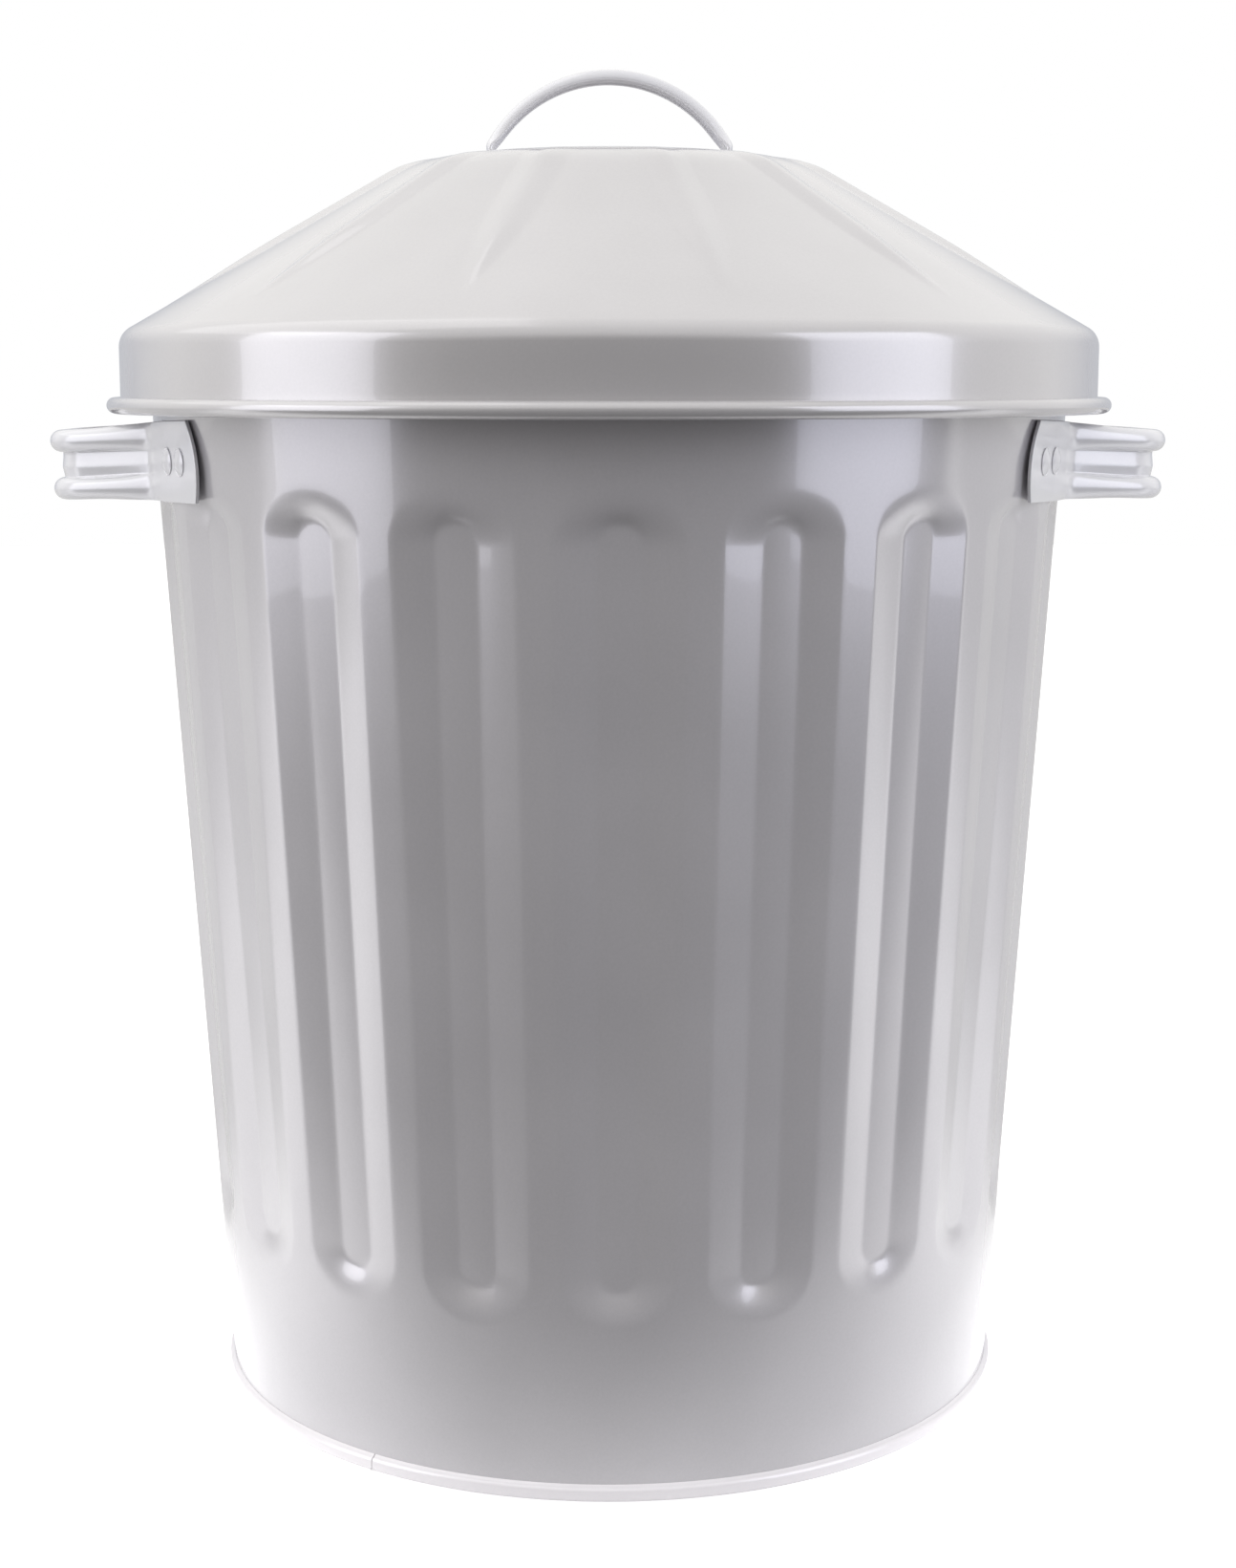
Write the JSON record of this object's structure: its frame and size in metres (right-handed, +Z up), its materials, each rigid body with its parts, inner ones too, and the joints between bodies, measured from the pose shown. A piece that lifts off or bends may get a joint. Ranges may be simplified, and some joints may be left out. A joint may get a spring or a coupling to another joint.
{
  "type": "small dustbin with lift-off lid",
  "caption": "Small round tapered steel bin with fluted sides, two riveted strap handles, a foot hoop and a loose conical lid with a bow handle.",
  "frame": {"origin": "centre of the foot circle, on the floor", "axes": "+Z up; -Y towards the front, where the middle flute is; the side handles lie to +X and -X; the lock seam is at +Y"},
  "size_m": [0.3338, 0.3006, 0.3968],
  "materials": {
    "body_enamel": "glossy pearl-white enamel over sheet steel",
    "lid_enamel": "glossy pearl-white enamel over sheet steel",
    "hoop_enamel": "glossy pearl-white enamel",
    "handle_enamel": "glossy pearl-white enamel over pressed strap",
    "rivet_enamel": "glossy pearl-white enamel",
    "edge_wire": "drawn steel wire, hidden inside the rolled edges"
  },
  "bodies": {
    "bin": {"base_hoop": "hoop_enamel", "base_pan": "body_enamel", "body_shell": "body_enamel", "left_handle": "handle_enamel", "right_handle": "handle_enamel", "rim_wire": "edge_wire", "rivet_left_front_inner": "rivet_enamel", "rivet_left_front_outer": "rivet_enamel", "rivet_left_rear_inner": "rivet_enamel", "rivet_left_rear_outer": "rivet_enamel", "rivet_right_front_inner": "rivet_enamel", "rivet_right_front_outer": "rivet_enamel", "rivet_right_rear_inner": "rivet_enamel", "rivet_right_rear_outer": "rivet_enamel"},
    "lid": {"lid_handle": "handle_enamel", "lid_rim_wire": "edge_wire", "lid_rivet_left_inner": "rivet_enamel", "lid_rivet_left_outer": "rivet_enamel", "lid_rivet_right_inner": "rivet_enamel", "lid_rivet_right_outer": "rivet_enamel", "lid_shell": "lid_enamel"}
  },
  "joints": [
    {"name": "lid_lift", "type": "slide", "parent": "bin", "child": "lid", "axis": [0, 0, 1], "range_m": [0, 0.3]}
  ]
}
